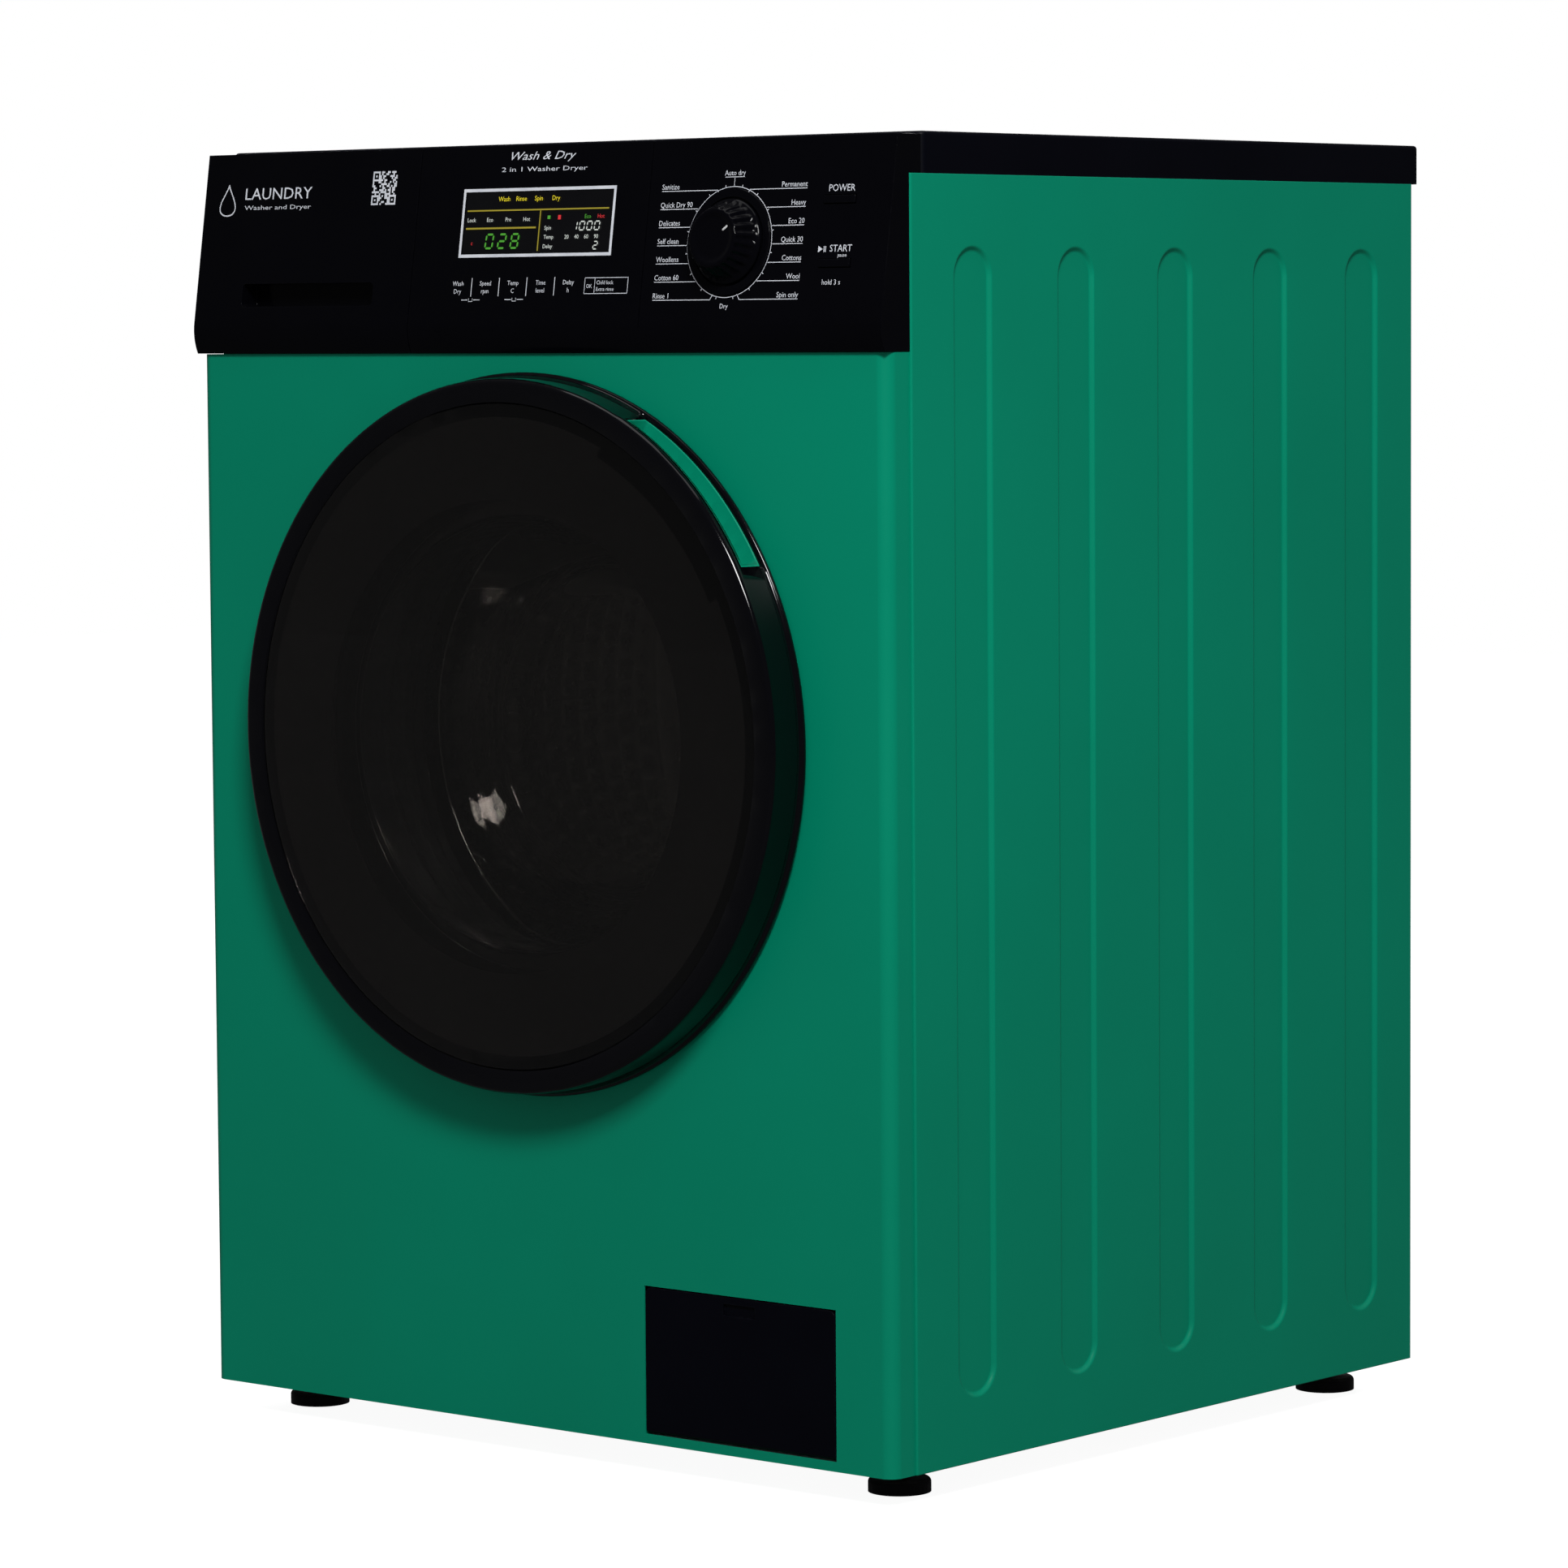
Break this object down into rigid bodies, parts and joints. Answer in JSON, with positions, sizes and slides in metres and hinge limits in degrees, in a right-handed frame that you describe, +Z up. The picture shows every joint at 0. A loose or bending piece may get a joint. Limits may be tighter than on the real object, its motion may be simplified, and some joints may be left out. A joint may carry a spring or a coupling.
{
  "type": "washer-dryer",
  "caption": "Front-loading household washer-dryer: steel cabinet, round glass door, console with dial and display, sprung tub, drum, drain pump and levelling feet.",
  "frame": {"origin": "on the floor, under the middle of the overall box", "axes": "+Z up, the front with the door faces -Y, +X to the right of a person facing the machine"},
  "size_m": [0.597, 0.602, 0.85],
  "materials": {
    "body_paint": "satin green powder coat",
    "plated_steel": "galvanised sheet",
    "stainless": "polished stainless steel",
    "spring_steel": "oiled spring steel",
    "console_gloss": "high-gloss black moulding",
    "worktop_plastic": "black moulding",
    "door_gloss": "high-gloss black moulding",
    "tinted_glass": "dark tinted glass",
    "clear_glass": "clear borosilicate glass",
    "grip_plastic": "green moulding",
    "grey_plastic": "light grey polypropylene",
    "dark_plastic": "dark grey moulding",
    "white_plastic": "white moulding",
    "screen": "lit colour display",
    "rubber": "grey-black elastomer",
    "concrete": "cast concrete",
    "cast_alloy": "die-cast",
    "motor_paint": "black motor casing",
    "board_green": "circuit board and carrier"
  },
  "bodies": {
    "cabinet": {"base_tray": "plated_steel", "left_side_panel": "body_paint", "right_side_panel": "body_paint", "front_panel": "body_paint", "back_panel": "plated_steel", "rear_access_cover": "plated_steel", "top_frame": "plated_steel", "top_cover": "worktop_plastic", "panel_screws": "plated_steel", "control_console": "console_gloss", "display_module": "screen", "selector_switch": "white_plastic", "control_board": "board_green", "dispenser_housing": "grey_plastic", "inlet_valves": "white_plastic", "dispenser_hose": "rubber", "drain_spout": "dark_plastic", "cord_gland": "dark_plastic", "drain_pump": "grey_plastic", "sump_hose": "rubber", "hinge_bracket": "stainless", "door_lock": "dark_plastic", "door_gasket": "rubber", "damper_rods": "stainless", "suspension_springs": "spring_steel"},
    "door": {"door_ring": "door_gloss", "door_glass": "tinted_glass", "door_grip": "grip_plastic", "door_inner_ring": "dark_plastic", "door_bowl": "clear_glass", "door_hinge_arm": "cast_alloy", "door_hook": "stainless"},
    "drawer": {"drawer_front": "console_gloss", "detergent_tray": "white_plastic", "siphon_cap": "grey_plastic"},
    "knob": {"selector_knob": "console_gloss"},
    "power_button": {"power_key": "console_gloss"},
    "start_button": {"start_key": "console_gloss"},
    "filter_flap": {"filter_cover": "worktop_plastic"},
    "filter_plug": {"filter_cap": "grey_plastic"},
    "pump_wheel": {"pump_impeller": "white_plastic"},
    "tub": {"tub_front": "grey_plastic", "tub_rear": "grey_plastic", "counterweights": "concrete", "drum_bearings": "stainless", "tub_heater": "stainless", "drying_duct": "grey_plastic", "drive_motor": "motor_paint", "drive_belt": "rubber", "damper_tubes": "dark_plastic"},
    "drum": {"drum_shell": "stainless", "drum_spider": "cast_alloy", "drum_paddles": "white_plastic", "drum_pulley": "cast_alloy"},
    "motor_rotor": {"motor_pulley": "stainless"},
    "fan_wheel": {"dryer_fan": "white_plastic"},
    "front_left_foot": {"foot_front_left": "dark_plastic"},
    "front_right_foot": {"foot_front_right": "dark_plastic"},
    "rear_left_foot": {"foot_rear_left": "dark_plastic"},
    "rear_right_foot": {"foot_rear_right": "dark_plastic"}
  },
  "joints": [
    {"name": "door_hinge", "type": "hinge", "parent": "cabinet", "child": "door", "pos_m": [-0.227, -0.288, 0.47], "axis": [0, 0, -1], "range_deg": [0, 120]},
    {"name": "drawer_slide", "type": "slide", "parent": "cabinet", "child": "drawer", "axis": [0, -1, 0], "range_m": [0, 0.19]},
    {"name": "knob_turn", "type": "hinge", "parent": "cabinet", "child": "knob", "pos_m": [0.17, -0.26913, 0.7836], "axis": [0, -0.989, 0.1478], "continuous": true},
    {"name": "power_key_press", "type": "slide", "parent": "cabinet", "child": "power_button", "axis": [0, 0.989, -0.1478], "range_m": [0, 0.0015], "stiffness_N_per_m": 800, "springref_m": -0.001},
    {"name": "start_key_press", "type": "slide", "parent": "cabinet", "child": "start_button", "axis": [0, 0.989, -0.1478], "range_m": [0, 0.0015], "stiffness_N_per_m": 800, "springref_m": -0.001},
    {"name": "filter_flap_hinge", "type": "hinge", "parent": "cabinet", "child": "filter_flap", "pos_m": [0.1725, -0.2684, 0.0296], "axis": [1, 0, 0], "range_deg": [0, 95]},
    {"name": "filter_plug_turn", "type": "hinge", "parent": "cabinet", "child": "filter_plug", "pos_m": [0.1725, -0.241, 0.074], "axis": [0, -1, 0], "range_deg": [0, 180]},
    {"name": "pump_spin", "type": "hinge", "parent": "cabinet", "child": "pump_wheel", "pos_m": [0.1725, -0.136, 0.074], "axis": [0, 1, 0], "continuous": true},
    {"name": "tub_float", "type": "slide", "parent": "cabinet", "child": "tub", "axis": [0, 0, 1], "range_m": [-0.012, 0.01], "stiffness_N_per_m": 25000, "springref_m": 0.01177, "deforming": ["suspension_springs", "sump_hose", "door_gasket"]},
    {"name": "drum_spin", "type": "hinge", "parent": "tub", "child": "drum", "pos_m": [0, 0, 0.47], "axis": [0, 1, 0], "continuous": true},
    {"name": "motor_spin", "type": "hinge", "parent": "tub", "child": "motor_rotor", "pos_m": [-0.04, 0.169, 0.126], "axis": [0, 1, 0], "continuous": true},
    {"name": "fan_spin", "type": "hinge", "parent": "tub", "child": "fan_wheel", "pos_m": [0.148, 0.101, 0.75], "axis": [0, 0, 1], "continuous": true},
    {"name": "front_left_foot_screw", "type": "hinge", "parent": "cabinet", "child": "front_left_foot", "pos_m": [-0.255, -0.213, 0.02], "axis": [0, 0, 1], "continuous": true},
    {"name": "front_right_foot_screw", "type": "hinge", "parent": "cabinet", "child": "front_right_foot", "pos_m": [0.255, -0.213, 0.02], "axis": [0, 0, 1], "continuous": true},
    {"name": "rear_left_foot_screw", "type": "hinge", "parent": "cabinet", "child": "rear_left_foot", "pos_m": [-0.255, 0.251, 0.02], "axis": [0, 0, 1], "continuous": true},
    {"name": "rear_right_foot_screw", "type": "hinge", "parent": "cabinet", "child": "rear_right_foot", "pos_m": [0.255, 0.251, 0.02], "axis": [0, 0, 1], "continuous": true}
  ],
  "couplings": [
    {"joint": "motor_spin", "follows": "drum_spin", "ratio": 10.481}
  ]
}
